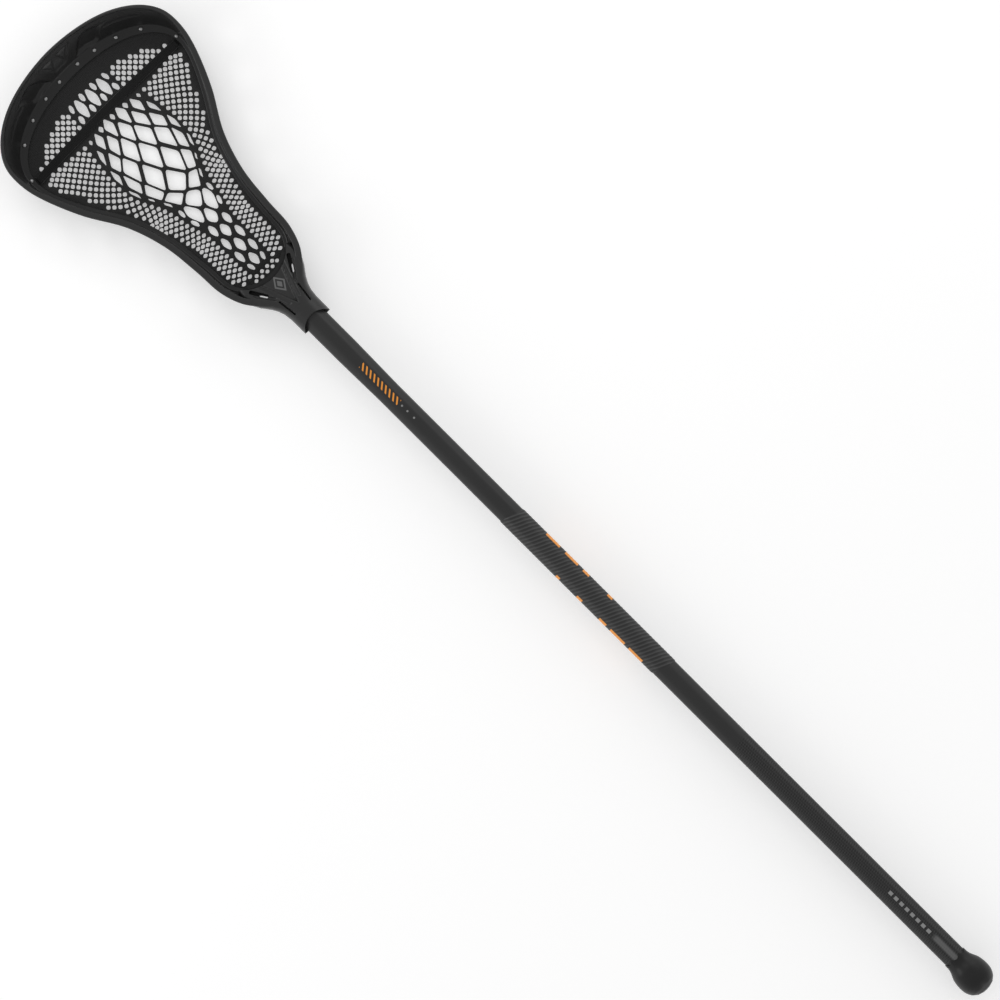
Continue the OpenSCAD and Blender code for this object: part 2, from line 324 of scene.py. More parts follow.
# One row per station on the right half: top edge across, down, up; flange tip across, down, up;
# flange width; rail width; skirt depth.
STATIONS = [
    [0, 0, 42.5, 0, 26.4, 13, 8, 2.5, 3],
    [32, 3.3, 42.8, 27, 28.5, 13, 8, 2.5, 3],
    [58.5, 11.5, 43.3, 48.3, 33.6, 12.8, 7.5, 2.6, 3.2],
    [78.9, 24.7, 43.5, 64.6, 41.2, 12.4, 7, 3, 4],
    [90.9, 41.2, 43, 76.6, 51.7, 11.8, 6, 3.6, 5.5],
    [93.4, 60, 42, 82.4, 64.5, 11.2, 5, 4.4, 7],
    [89, 82.4, 40, 79.8, 83, 10.6, 4.4, 5.2, 8.6],
    [75.2, 115.4, 37, 66, 112, 10.1, 4.2, 5.5, 9.8],
    [56.2, 148.3, 34.5, 46.6, 145, 10, 4.2, 5.5, 10],
    [45.5, 181.3, 33.2, 35.8, 180, 10, 4.2, 5.5, 10],
    [41.7, 214, 33, 31.6, 214, 10, 4.2, 5.5, 10],
    [40.2, 239, 33.4, 29.6, 238, 10.4, 4.2, 5.5, 9.6],
    [34, 258.6, 34.4, 23.6, 250, 10.8, 4.2, 5.5, 8.8],
    [23.8, 272.6, 32.3, 15.2, 262, 11, 4.2, 5.5, 8],
]
LAST = len(STATIONS) - 1
ROUND = [[-r[0], *r[1:3], -r[3], *r[4:]] for r in STATIONS[:0:-1]] + STATIONS
WALL = 2.8
FLANGE = 1.8
RAIL_DEEP = 4.6
SLOPE_POINTS = 34

# Shallow recesses moulded into the scoop's inner slope: outline across and down, and depth.
WING = [(15, 17.4), (19.5, 13), (24.5, 10), (31, 8.6), (38, 10.2), (44, 12.6), (51.5, 15.8), (44.5, 15.8),
        (41.5, 17.2), (37.5, 20.6), (33, 20.6), (26, 18.6)]
CENTRE = [(-18, 6.2), (18, 6.2), (7, 15), (-7, 15)]
FACET = [(-14, 7.2), (-2.2, 7.2), (-6.4, 13.4)]
LEDGE = [(47, 16.6), (56, 19.6), (66, 24.8), (75.5, 31.4)]


def scoop_dent(across, down):
    """How deep the scoop's inner slope is pressed in at a place."""
    place = (abs(across), down)
    if down > 36:
        return 0
    dent = 1.7 * smooth(inside(place, WING), -0.5, 1.8)
    centre = smooth(inside((across, down), CENTRE), -0.2, 0.6)
    dent = max(dent, centre * (0.25 + 1.3 * smooth(15 - down, 0, 8.5)))
    dent -= 0.4 * smooth(inside((-abs(across), down), FACET), -0.2, 1.2) * centre
    ledge = min(from_line(place, a, b) for a, b in zip(LEDGE, LEDGE[1:]))
    return max(dent, 0.45 * (1 - smooth(ledge, 0.3, 1.4)))


def outward(row):
    out = Vector((row[0] - row[3], row[4] - row[1]))
    return out.normalized(), out.length


def in_rim(row, p, q):
    """p runs outwards from the flange's tip, q runs up."""
    out = outward(row)[0]
    return (row[3] + p * out[0], along(row[4]) + p * out[1], row[5] + q)


def rim_ring(row):
    """The rim's section: rolled flange tip, inner slope, top rail, outer wall and skirt."""
    w = outward(row)[1]
    h = row[2] - row[5]
    flange, rail, skirt = row[6:9]
    corners = [
        (0, -FLANGE), (0, 0), (flange, 0.8), (w - rail, h - RAIL_DEEP), (w - rail, h), (w, h),
        (w, h - RAIL_DEEP), (max(w - rail + WALL - 0.4, flange + WALL + 0.3), h - RAIL_DEEP - 1.2),
        (flange + WALL, -skirt), (flange - 0.6, -skirt), (flange - 0.6, -FLANGE),
    ]
    radii = [0.8, 0.8, 1.6, 1.2, 1.1, 1.5, 0.7, 0.9, 1, 0.7, 0.5]
    section = rounded(corners, radii)
    before = section[11]
    after = section[12]
    normal = Vector((before[1] - after[1], after[0] - before[0])).normalized()
    slope = []
    for k in range(SLOPE_POINTS + 1):
        point = before.lerp(after, k / SLOPE_POINTS)
        place = in_rim(row, *point)
        slope.append(point - normal * scoop_dent(place[0], LENGTH / 2 - place[1]))
    return [in_rim(row, *point) for point in section[:11] + slope + section[13:]]


stops = []
u = -LAST
while u < LAST:
    stops.append(u)
    u += 1 / 40 if abs(u) < 4 else 1 / 10
rim = make("rim", *loft([rim_ring(curve(ROUND, u + LAST)) for u in stops + [LAST]]), head_plastic)

# Windows through the sidewalls: from, to, bottom, top.
WINDOWS = [(64, 90, 15.5, 33.5), (97, 123, 14.5, 30.5), (130, 158, 14.5, 28), (165, 193, 14.5, 26.5),
           (200, 228, 14.5, 26.5)]
WINDOW_LEAN = 5
windows = []
for start, end, low, high in WINDOWS:
    corners = [(start, low), (start + WINDOW_LEAN, high), (end - WINDOW_LEAN / 2, high), (end, low)]
    outline = rounded(corners, 3, 5)
    windows.append(prism(outline, -100, 100, lambda p, h: (h, along(p[0]), p[1])))
carve(rim, windows)

# The throat, as sections from the ball stop to the socket's mouth.
THROAT_WIDE = [(250, 29), (256, 30.4), (262, 30.3), (267, 28.2), (272, 25.4), (276, 22.4), (280, 19.6),
               (285, 16.9), (290, 15.2), (297, 14.3), (313, 14.2)]
THROAT_UP = [(250, 11.6), (262, 12.2), (272, 12.8), (285, 13.8), (297, 14.2), (313, 14.2)]
THROAT_LOW = [(250, 15.5), (272, 16), (285, 14.8), (297, 14.2), (313, 14.2)]
THROAT_SQUARE = [(250, 6), (272, 6), (279, 3.4), (288, 2.4), (297, 2), (313, 2)]
THROAT_POINTS = 120
PANEL = [(-13, 257), (13, 257), (0, 292)]


def throat_dent(across, down):
    """How deep the throat's upper face is pressed in at a place."""
    place = (abs(across), down)
    ridge = from_line(place, (13.4, 257), (0, 292))
    dent = 0.9 * smooth(inside((across, down), PANEL), 0.2, 1.6)
    dent -= 0.9 * (1 - smooth(ridge, 0.2, 1.1))
    groove = from_line(place, (21.5, 262.5), (11.5, 276))
    dent += 1.6 * (1 - smooth(groove, 0.4, 1.9))
    beside = from_line(place, (15.6, 257), (5.4, 287))
    dent += 0.8 * (1 - smooth(beside, 0.4, 1.7))
    slot = from_line(place, (10.7, 280.5), (8.8, 296))
    return dent + 2.6 * (1 - smooth(slot, 0.25, 0.85))


def throat_ring(down):
    wide, up, low, square = (lookup(down, t) for t in (THROAT_WIDE, THROAT_UP, THROAT_LOW, THROAT_SQUARE))
    ring = []
    for side, high in ((1, up), (-1, low)):
        for k in range(THROAT_POINTS):
            x = side * wide * math.cos(math.pi * k / THROAT_POINTS)
            z = side * high * (1 - abs(x / wide) ** square) ** (1 / square)
            if side > 0:
                z -= throat_dent(x, down) * smooth(z, 0, 6)
            ring.append((x, along(down), AXIS + z))
    return ring


THROAT_DOWN = 226
THROAT_R = 31.9
LEDGE_WIDE = 4.2
LEDGE_UNDER = 9.2
LEDGE_TOP = 11
HEAD_END = 313
MOUTH_SCALLOP = 7.3
MOUTH_R = 17
SLIT = [(24.2, 257.4), (21.2, 255.6), (12.6, 269.8), (15.6, 271.2)]
OPENING = [(19.5, 264.2), (18.3, 263.5), (14.3, 269.7), (15.4, 270.3)]
SOCKET_FROM = 266
SCREW_DOWN = 303
SCREW_HOLE_R = 1.85
SCREW_SEAT_R = 3.7
SCREW_SEAT_UP = 9
THROAT_FROM = 250
BORE_FLATS = 22.1


def circle(radius, centre=(0, 0), points=96):
    return [(centre[0] + radius * math.cos(2 * math.pi * k / points),
             centre[1] + radius * math.sin(2 * math.pi * k / points)) for k in range(points)]


def octagon(flats):
    return [(flats / 2 / math.cos(math.pi / 8) * math.cos(math.pi * (k + 0.5) / 4),
             flats / 2 / math.cos(math.pi / 8) * math.sin(math.pi * (k + 0.5) / 4)) for k in range(8)]


def upright(point, height):
    return (point[0], along(point[1]), height)


def lengthways(point, down):
    return (point[0], along(down), AXIS + point[1])


def slits():
    """Two slots sunk beside the throat's panel, each with a narrow opening right through."""
    made = []
    for side in (-1, 1):
        for corners, low in ((SLIT, 15), (OPENING, -10)):
            made.append(prism(rounded([(side * x, d) for x, d in corners], 1.6, 5), low, 50, upright))
    return made


downs = [THROAT_FROM + 0.5 * k for k in range(2 * (HEAD_END - THROAT_FROM) + 1)]
throat = make("throat", *loft([throat_ring(d) for d in downs]), head_plastic)
cutters = [
    prism(circle(THROAT_R + LEDGE_WIDE, (0, THROAT_DOWN)), LEDGE_TOP, 60, upright),
    prism(circle(THROAT_R + LEDGE_WIDE, (0, THROAT_DOWN)), -10, LEDGE_UNDER, upright),
    prism(circle(THROAT_R, (0, THROAT_DOWN)), 5, 20, upright),
    prism(octagon(BORE_FLATS), SOCKET_FROM, HEAD_END + 5, lengthways),
    prism(circle(MOUTH_R, (0, HEAD_END + MOUTH_R - MOUTH_SCALLOP)), AXIS, 60, upright),
    prism(circle(SCREW_HOLE_R, (0, SCREW_DOWN), 32), 0, AXIS, upright),
    prism(circle(SCREW_SEAT_R, (0, SCREW_DOWN), 32), 0, SCREW_SEAT_UP, upright),
]
carve(throat, cutters + slits())
carve(rim, slits())

head = join("head", [rim, throat])
shade(head, 38)
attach(head, "stick")
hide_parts("head_frame")


# --- The knitted pocket -----------------------------------------------------------------------
# A one-piece knitted mesh of coated yarn, fixed all round under the flange: dense at the edges,
# fine holes at the sides and an open ladder of diamonds down the middle where the ball runs.
TUCK = 1.1
GAP = 0.15
SAG = 5.4
KNIT_THICK = 1.9


def edge_of(row):
    x, y, z = in_rim(row, row[6] - TUCK, 0)
    return (x, along(y), z - FLANGE - GAP)


EDGE = [edge_of(curve(ROUND, 0.5 * k + LAST)) for k in range(1, 23)]
reach = THROAT_R + LEDGE_WIDE - TUCK
for a in range(30, 79, 8):
    a = math.radians(a)
    EDGE.append((reach * math.cos(a), THROAT_DOWN + reach * math.sin(a), LEDGE_UNDER - GAP))
EDGE_ACROSS = [(e[1], e[0]) for e in EDGE]
EDGE_UP = [(e[1], e[2]) for e in EDGE]


def pocket_top(across, down):
    """Height of the sagging pocket's upper face."""
    t = (2 * down - EDGE[0][1] - EDGE[-1][1]) / (EDGE[-1][1] - EDGE[0][1])
    share = min(1, abs(across) / lookup(down, EDGE_ACROSS))
    return lookup(down, EDGE_UP) - SAG * (1 - min(1, abs(t)) ** 4) * (1 - share ** 2)


# Holes of the middle ladder on the right half, above and below the strip: top, right, bottom and
# left corner, each across and down. Those on the middle line stand once, the others on both sides.
LADDER = [
    ((0, 39.6), (3.9, 50), (0, 60.4), (-3.9, 50)),
    ((6.3, 39.2), (8.5, 44), (6.4, 48), (4.5, 43)),
    ((6.4, 51.6), (8.5, 56), (6.3, 60.4), (4.5, 56)),
    ((12.7, 39.8), (16.9, 50), (13.4, 60.6), (9, 50)),
    ((18.9, 40.6), (21.6, 45), (20.4, 49), (17.8, 44)),
    ((19.6, 52.4), (22, 57), (20.2, 61), (17.6, 56)),
    ((0, 69.4), (1.9, 72.4), (0, 75.4), (-1.9, 72.4)),
    ((6.8, 68.6), (11.7, 75.5), (8, 87.4), (3.4, 76.5)),
    ((13.8, 70.4), (16.4, 73), (14.4, 76.4), (12, 73)),
    ((20.4, 71.4), (25.6, 79.5), (23, 88.4), (17.6, 79)),
    ((27.6, 72.6), (29.6, 75), (28.4, 77.6), (26, 75)),
    ((0, 78.6), (5.5, 88.6), (0, 100.4), (-5.5, 88.6)),
    ((14.2, 79.6), (20.6, 90), (18, 100.2), (10.4, 89)),
    ((29, 82.6), (32, 90), (32.2, 98), (27, 88.6)),
    ((7.6, 89.6), (15.6, 101.6), (9.8, 115), (2.6, 101.6)),
    ((23.6, 90.8), (30.3, 101.4), (27.4, 110.2), (19.9, 101.4)),
    ((0, 102.6), (7.7, 116.5), (0, 132), (-7.7, 116.5)),
    ((18.2, 102.2), (26.2, 111.6), (21, 128.2), (12.9, 114)),
    ((33, 102.4), (35.3, 110), (34.2, 119.2), (30.4, 111)),
    ((10.6, 117.2), (18.6, 131), (12, 147), (2.7, 132.6)),
    ((28.2, 112.6), (31.6, 123), (27.6, 135.6), (23, 128)),
    ((34, 124.8), (34.6, 128), (31, 137.6), (30.4, 133)),
    ((0, 134.6), (9.3, 148.2), (0, 157.8), (-9.3, 148.2)),
    ((20.8, 130.6), (26.2, 138), (20, 150.4), (14, 147)),
    ((27.2, 140.6), (27.8, 143), (24.8, 148), (24.2, 145)),
    ((12, 149.4), (18.8, 152), (11.2, 164.4), (3.2, 158.6)),
    ((20.4, 152), (21.4, 154.6), (17.6, 161.6), (16.8, 158)),
    ((0, 159.8), (8.2, 166.2), (0, 177), (-8.2, 166.2)),
    ((11.2, 165.8), (14.1, 175), (8.2, 188.8), (3.2, 178)),
    ((16.2, 165.4), (17.8, 169.6), (16.4, 174.4), (14.8, 170)),
    ((0, 178.8), (4.9, 189), (0, 195.8), (-4.9, 189)),
    ((15, 179), (16, 182), (13.2, 187.8), (12.2, 184)),
    ((8, 191.8), (10.8, 198), (8, 204.8), (5.2, 198)),
    ((0, 197.6), (3.9, 204.6), (0, 211.8), (-3.9, 204.6)),
    ((8, 206.6), (10.6, 213), (8, 220.4), (5.2, 213)),
    ((0, 213.6), (3.8, 221.4), (0, 229.4), (-3.8, 221.4)),
    ((7.8, 222.4), (10.2, 228.6), (7.4, 235.6), (5, 228.8)),
    ((0, 231), (3.6, 238), (0, 245), (-3.6, 238)),
    ((7.4, 237.4), (8.6, 240.4), (6, 245.6), (5, 242)),
]
# The innermost column of fine holes at the side, and the outer limit of the fine holes.
SIDE_LINE = [(72, 34.2), (90, 36.6), (108, 38.8), (127, 38.3), (136, 36.2), (145, 31.8), (154, 26.4),
             (165, 22.8), (180, 20.6), (188, 18.8), (196, 15.4), (242, 14.4), (252, 12)]
SIDE_LIMIT = [(68, 76.4), (86, 76), (95.6, 70), (106, 63.4), (125, 55.4), (139, 46.8), (156, 41),
              (172, 36.8), (188, 31.8), (197, 29), (226, 28.2), (238, 27.4), (246, 22.6), (252, 17)]
COLUMN_APART = [(72, 3.4), (120, 3.4), (190, 3.95), (252, 3.95)]
ROW_APART = [(72, 6.3), (120, 6.3), (190, 5.15), (252, 5.15)]


def smoothed(value, table, over=9):
    return sum(lookup(value + over * k / 4, table) for k in range(-4, 5)) / 9


LADDER_OPEN = [(15, 0.3), (19, 0.02), (40, -0.05)]
TALL_LADDER = (62, 157)
STRAND = 0.6
FULLNESS = 1.6


def diamond(centre, wide, tall, turn=0):
    """A small full-bellied diamond of a hole."""
    spin = Matrix.Rotation(turn, 2)
    out = []
    for k in range(12):
        a = math.pi * k / 6
        corner = [math.copysign(abs(f) ** (2 / FULLNESS), f) for f in (math.cos(a), math.sin(a))]
        out.append(Vector(centre) + spin @ Vector((wide * corner[0], tall * corner[1])))
    return out


def grown(loop, by):
    """An outline moved outwards."""
    out = []
    for i, point in enumerate(loop):
        ahead = Vector(loop[(i + 1) % len(loop)]) - Vector(loop[i - 1])
        normal = Vector((ahead[1], -ahead[0])).normalized()
        out.append(Vector(point) + normal * by)
    return out


def turned(loop):
    """The same outline, running anticlockwise."""
    area = sum(a[0] * b[1] - b[0] * a[1] for a, b in zip(loop, loop[1:] + loop[:1]))
    return loop if area > 0 else loop[::-1]


holes = []
for corners in LADDER:
    size = math.dist(corners[0], corners[2])
    low_down = not TALL_LADDER[0] < corners[0][1] < TALL_LADDER[1]
    radius = 1 + 0.13 * size if low_down else 0.7 + 0.06 * size
    across, down = corners[1][0], corners[0][1]
    opened = 0.5 if low_down else lookup(across, LADDER_OPEN)
    if size < 11 and across > 20 and down > 100 and not low_down:
        opened = -0.3
    for side in (1,) if corners[0][0] == 0 else (1, -1):
        holes.append(grown(turned(rounded([(side * x, d) for x, d in corners], radius, 3)), opened))

ladder = [(hole, sum(hole, Vector((0, 0))) / len(hole)) for hole in holes]


def clear_of_ladder(spot, size):
    """Share of its size that a fine hole can have beside the ladder's holes."""
    near = [-inside(spot, hole) for hole, middle in ladder if math.dist(spot, middle) < 22]
    return min([1] + [(gap - STRAND) / size for gap in near])


# Fine holes above the strip, in upright columns.
for side in (-1, 1):
    for column in range(15):
        across = 25.8 + 3.3 * column
        top = 42 + 0.0105 * max(0, across - 28) ** 1.95
        down = 59.4 - 3.15 * (column % 2)
        while down > top:
            holes.append(diamond((side * across, down + across * across * 0.0005), 1.85, 2.15))
            down -= 6.3

# Fine holes beside the ladder, in columns that follow its border, each offset by half a row.
for side in (-1, 1):
    for column in range(13):
        down = 75 + (3.15 if column % 2 else 0)
        while down < 249:
            slope = (smoothed(down + 3, SIDE_LINE) - smoothed(down - 3, SIDE_LINE)) / 6
            turn = math.atan(slope)
            apart = column * lookup(down, COLUMN_APART)
            x = smoothed(down, SIDE_LINE, 5) + apart * math.cos(turn)
            d = down - apart * math.sin(turn)
            room = smoothed(d, SIDE_LIMIT, 4) - x
            if room > -0.6 and 71.5 < d < 250 - 0.004 * x * x and x > 11:
                wide = lookup(d, COLUMN_APART) * 0.55
                fit = clear_of_ladder((side * x, d), 1.9)
                tall = lookup(d, ROW_APART) * 0.31
                if fit > 0.45:
                    holes.append(diamond((side * x, d), fit * wide, fit * tall, -side * turn))
            down += lookup(down, ROW_APART) * math.cos(turn)

# Two staggered rows round the bottom of the pocket.
for x, d in ((3, 250.4), (9, 250.2)):
    holes += [diamond((side * x, d), 1.8, 1.7) for side in (-1, 1)]
holes.append(diamond((0, 253.8), 1.8, 1.6))
for x, d in ((6, 253.8), (12, 253)):
    holes += [diamond((side * x, d), 1.8, 1.6) for side in (-1, 1)]


# Each hole has three loops round it, so that the yarn between holes is round in section.
ROUNDING = [(0, 0), (0.22, 0.7), (0.55, 1)]
outline = turned([Vector((e[0], e[1])) for e in EDGE] + [Vector((-e[0], e[1])) for e in reversed(EDGE)])
points = list(outline)
heights = [0.6] * len(outline)
outlines = [list(range(len(outline)))]
lines = []
for hole in holes:
    hole = turned([Vector(p) for p in hole])
    for by, height in ROUNDING:
        first = len(points)
        loop = list(range(first, first + len(hole)))
        points += grown(hole, by)
        heights += [height] * len(hole)
        if by == 0:
            outlines.append(loop)
        else:
            lines += list(zip(loop, loop[1:] + loop[:1]))
near = KDTree(len(points))
for i, p in enumerate(points):
    near.insert((p[0], p[1], 0), i)
near.balance()
for row in range(54):
    for column in range(-18, 19):
        x = 4.6 * (column + 0.5 * (row % 2))
        d = 24 + 4.3 * row
        if d < EDGE[-1][1] - 2 and abs(x) < lookup(d, EDGE_ACROSS) - 2:
            if near.find((x, d, 0))[2] > 1.6:
                points.append(Vector((x, d)))
                heights.append(1)
knitted = delaunay_2d_cdt(points, lines, outlines, 0, 1e-4)
flat, flat_faces, from_point, from_face = (knitted[k] for k in (0, 2, 3, 5))
kept = [f for f, source in zip(flat_faces, from_face) if 0 in source and len(source) == 1]
used = sorted({i for f in kept for i in f})
level = {i: max((heights[k] for k in from_point[i]), default=0.8) for i in used}
sides = {}
for f in kept:
    for a, b in zip(f, f[1:] + f[:1]):
        sides[frozenset((a, b))] = sides.get(frozenset((a, b)), 0) + 1
count = len(outline)
on_rim = {i for i in used if any(k < count for k in from_point[i])}
for edge, beside in sides.items():
    if beside == 1:
        for i in edge - on_rim:
            level[i] = 0
upper = {v: k for k, v in enumerate(used)}
lower = {}
verts = []
for i in used:
    x, d = flat[i]
    verts.append((x, along(d), pocket_top(x, d) - KNIT_THICK / 2 * (1 - level[i])))
for i in used:
    if level[i] == 0:
        lower[i] = upper[i]
    else:
        x, d = flat[i]
        lower[i] = len(verts)
        verts.append((x, along(d), pocket_top(x, d) - KNIT_THICK / 2 * (1 + level[i])))
faces = [tuple(upper[i] for i in f) for f in kept] + [tuple(lower[i] for i in reversed(f)) for f in kept]
rim_ids = [next(i for i in used if k in from_point[i]) for k in range(count)]
for a, b in zip(rim_ids, rim_ids[1:] + rim_ids[:1]):
    faces.append((upper[a], lower[a], lower[b], upper[b]))
knit_area = sum(abs((flat[f[1]][0] - flat[f[0]][0]) * (flat[f[2]][1] - flat[f[0]][1])
                    - (flat[f[2]][0] - flat[f[0]][0]) * (flat[f[1]][1] - flat[f[0]][1])) / 2 for f in kept)

yarn = Paint("knit", Sheen_Weight=0.25, Sheen_Roughness=0.5, Specular_IOR_Level=0.25)
ribs = yarn.math("SINE", yarn.x * 4.2 + 1.2 * yarn.math("SINE", yarn.y * 3.4))
loops = yarn.math("SINE", yarn.y * 3.4 + 0.9 * yarn.math("SINE", yarn.x * 4.2))
fuzz = yarn.noise(900, 4)
yarn.drive(Base_Color=yarn.mix(0.35 * fuzz + 0.16 * ribs + 0.3, grey(0.009), grey(0.032)),
           Roughness=0.75 + 0.2 * fuzz)
yarn.bump(0.5 + 0.25 * ribs + 0.25 * loops + 0.3 * fuzz, 0.28)

net = make("pocket_net", verts, faces, yarn.material)
shade(net, 60)
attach(net, "stick")
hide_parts("mesh_pocket")
round(knit_area * SCALE * SCALE, 5)


# --- The shooting strip -----------------------------------------------------------------------
# A woven tape 10 mm wide, rolled on itself and sewn across the pocket below the scoop.
STRIP_HALF = 80.4
STRIP_DOWN = 65
STRIP_BOW = 2.5
STRIP_LIFT = 0.3


def strip_place(across):
    f = across / STRIP_HALF
    return STRIP_DOWN + STRIP_BOW * f * f


rings = []
for k in range(161):
    x = STRIP_HALF * (k / 80 - 1)
    d = strip_place(x)
    ring = rounded([(-3.7, 0), (3.7, 0), (3.7, 2.1), (2.3, 3), (-2.3, 3), (-3.7, 2.1)], 1.1, 3)
    rings.append([(x, along(d + p[0]), pocket_top(x, d) + STRIP_LIFT + p[1]) for p in ring])
tape = Paint("strip_knit", Sheen_Weight=0.2, Specular_IOR_Level=0.2)
weave = tape.math("SINE", tape.x * 3.1 + tape.y * 2.2) * tape.math("SINE", tape.x * 3.1 - tape.y * 2.2)
tape.drive(Base_Color=tape.mix(0.5 + 0.4 * weave, grey(0.004), grey(0.012)),
           Roughness=0.8 + 0.15 * tape.noise(700))
tape.bump(0.5 + 0.5 * weave, 0.35)
strip = make("shooting_strip_tape", *loft(rings), tape.material)
shade(strip, 50)
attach(strip, "stick")
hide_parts("shooting_strip")


# --- Pins that hold the pocket ----------------------------------------------------------------
# Ten bright metal pins through the scoop's flange, and small plastic pins pressed up through the
# pocket's border along the rails and the throat.
SCOOP_PINS = [0.37, 1.02, 1.92, 3.05, 5]
RAIL_PINS = [5.7, 6.4, 7.1, 7.8, 8.5, 9.2, 9.9, 10.6]
THROAT_PINS = [50, 90, 130]
RAIL_PIN_IN = 1.9


class Geometry:
    """A geometry node tree with named inputs."""

    def __init__(self, name, **numbers):
        self.tree = bpy.data.node_groups.new(name, "GeometryNodeTree")
        face = self.tree.interface
        face.new_socket("Geometry", in_out="INPUT", socket_type="NodeSocketGeometry")
        for key in numbers:
            face.new_socket(key.replace("_", " "), in_out="INPUT", socket_type="NodeSocketFloat")
        face.new_socket("Geometry", in_out="OUTPUT", socket_type="NodeSocketGeometry")
        self.numbers = numbers
        self.source = self.tree.nodes.new("NodeGroupInput")
        self.sink = self.tree.nodes.new("NodeGroupOutput")

    def given(self, name):
        return self.source.outputs[name.replace("_", " ")]

    def node(self, kind, settings=(), **inputs):
        made = self.tree.nodes.new(kind)
        for key, value in dict(settings).items():
            setattr(made, key, value)
        for key, value in inputs.items():
            self.feed(made.inputs[key.replace("_", " ")], value)
        return made.outputs[0]

    def feed(self, socket, value):
        if isinstance(value, bpy.types.NodeSocket):
            self.tree.links.new(value, socket)
        else:
            socket.default_value = value

    def joined(self, *parts):
        made = self.tree.nodes.new("GeometryNodeJoinGeometry")
        for part in parts:
            self.tree.links.new(part, made.inputs[0])
        return made.outputs[0]

    def finish(self, geometry, material):
        whole = self.node("GeometryNodeRealizeInstances", Geometry=geometry)
        self.tree.links.new(self.node("GeometryNodeSetMaterial", Geometry=whole, Material=material),
                            self.sink.inputs[0])

    def apply(self, piece):
        """Runs the tree on a piece and leaves plain mesh behind."""
        made = piece.modifiers.new(self.tree.name, "NODES")
        made.node_group = self.tree
        for item in self.tree.interface.items_tree:
            if item.in_out == "INPUT" and item.socket_type == "NodeSocketFloat":
                made[item.identifier] = self.numbers[item.name.replace(" ", "_")] * SCALE
        bake(piece)


def moved(tree, geometry, up):
    lift = tree.node("ShaderNodeCombineXYZ", Z=up)
    return tree.node("GeometryNodeTransform", Geometry=geometry, Translation=lift)


def pins(name, places, material, node, slot, **numbers):
    """A row of pins with a domed head, a shank and a collar below the pocket."""
    tree = Geometry(name, **numbers)
    head_shape = tree.node("GeometryNodeMeshUVSphere", Segments=20, Rings=10,
                           Radius=tree.given("Head_radius"))
    squash = tree.node("GeometryNodeTransform", Geometry=head_shape, Scale=(1, 1, numbers["Flat"]))
    parts = [moved(tree, squash, tree.given("Head_up"))]
    shank = tree.node("GeometryNodeMeshCylinder", Vertices=16, Radius=tree.given("Shank_radius"),
                      Depth=tree.given("Shank_length"))
    parts.append(moved(tree, shank, tree.given("Shank_up")))
    collar = tree.node("GeometryNodeMeshCylinder", Vertices=20, Radius=tree.given("Collar_radius"),
                       Depth=tree.given("Collar_thick"))
    parts.append(moved(tree, collar, tree.given("Collar_up")))
    spots = tree.node("GeometryNodeInstanceOnPoints", Points=tree.given("Geometry"),
                      Instance=tree.joined(*parts))
    tree.finish(spots, material)
    piece = make(name, places, [], material)
    tree.apply(piece)
    shade(piece, 40)
    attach(piece, "stick")
    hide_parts(node)


bright = Paint("pin_metal", Base_Color=grey(0.35), Metallic=1.0)
bright.drive(Roughness=0.22 + 0.2 * bright.noise(600))
bright.bump(bright.noise(1800), 0.02)
dull = Paint("pin_plastic", Base_Color=grey(0.03))
dull.drive(Roughness=0.45 + 0.2 * dull.noise(500))
dull.bump(dull.noise(2200), 0.02)


def round_at(u):
    return curve(ROUND, u + LAST)


def scoop_pin_at(u):
    row = round_at(u)
    return in_rim(row, min(0.6 * row[6], row[6] - 2.4), 0.45)


def throat_pin_at(degrees):
    a = math.radians(degrees)
    r = THROAT_R + RAIL_PIN_IN
    return (r * math.cos(a), along(THROAT_DOWN) - r * math.sin(a), LEDGE_TOP)


METAL = {"Head_radius": 1.75, "Head_up": 0.15, "Flat": 0.55, "Shank_radius": 1.1, "Shank_length": 6.4,
         "Shank_up": -3, "Collar_radius": 1.55, "Collar_thick": 0.8, "Collar_up": -5.8}
SMALL = {"Head_radius": 0.6, "Head_up": -1, "Flat": 0.5, "Shank_radius": 0.8, "Shank_length": 4.1,
         "Shank_up": -2.65, "Collar_radius": 1.4, "Collar_thick": 0.8, "Collar_up": -4.85}
pins("scoop_pin_row", [scoop_pin_at(side * u) for side in (-1, 1) for u in SCOOP_PINS], bright.material,
     "scoop_pins", "pin_metal", **METAL)
pins("left_rail_pin_row", [in_rim(round_at(-u), RAIL_PIN_IN, 0) for u in RAIL_PINS], dull.material,
     "left_rail_pins", "pin_plastic", **SMALL)
pins("right_rail_pin_row", [in_rim(round_at(u), RAIL_PIN_IN, 0) for u in RAIL_PINS], dull.material,
     "right_rail_pins", "pin_plastic", **SMALL)
pins("throat_pin_row", [throat_pin_at(a) for a in THROAT_PINS], dull.material, "throat_pins",
     "pin_plastic", **SMALL)


# --- The ball stop ----------------------------------------------------------------------------
# A strip of closed-cell foam glued to the throat's round wall, where the ball comes to rest.
PAD_THICK = 3.6
PAD_ANGLE = 38
outer = THROAT_R + LEDGE_WIDE - GAP
section = rounded([(outer - PAD_THICK, 11.4), (outer, 11.4), (outer, 33.1), (outer - PAD_THICK, 33.1)],
                  [1.2, 0.3, 0.3, 1.4], 4)
rings = []
for k in range(41):
    a = math.radians(90 + PAD_ANGLE * (k / 20 - 1))
    rings.append([(r * math.cos(a), along(THROAT_DOWN) - r * math.sin(a), z) for r, z in section])
foam = Paint("foam", Base_Color=grey(0.018), Specular_IOR_Level=0.2)
pores = foam.node("ShaderNodeTexVoronoi", Vector=foam.place, Scale=1500.0)
foam.drive(Roughness=0.85 + 0.1 * pores)
foam.bump(pores, 0.12)
pad = make("ball_stop_pad", *loft(rings), foam.material)
shade(pad, 50)
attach(pad, "stick")
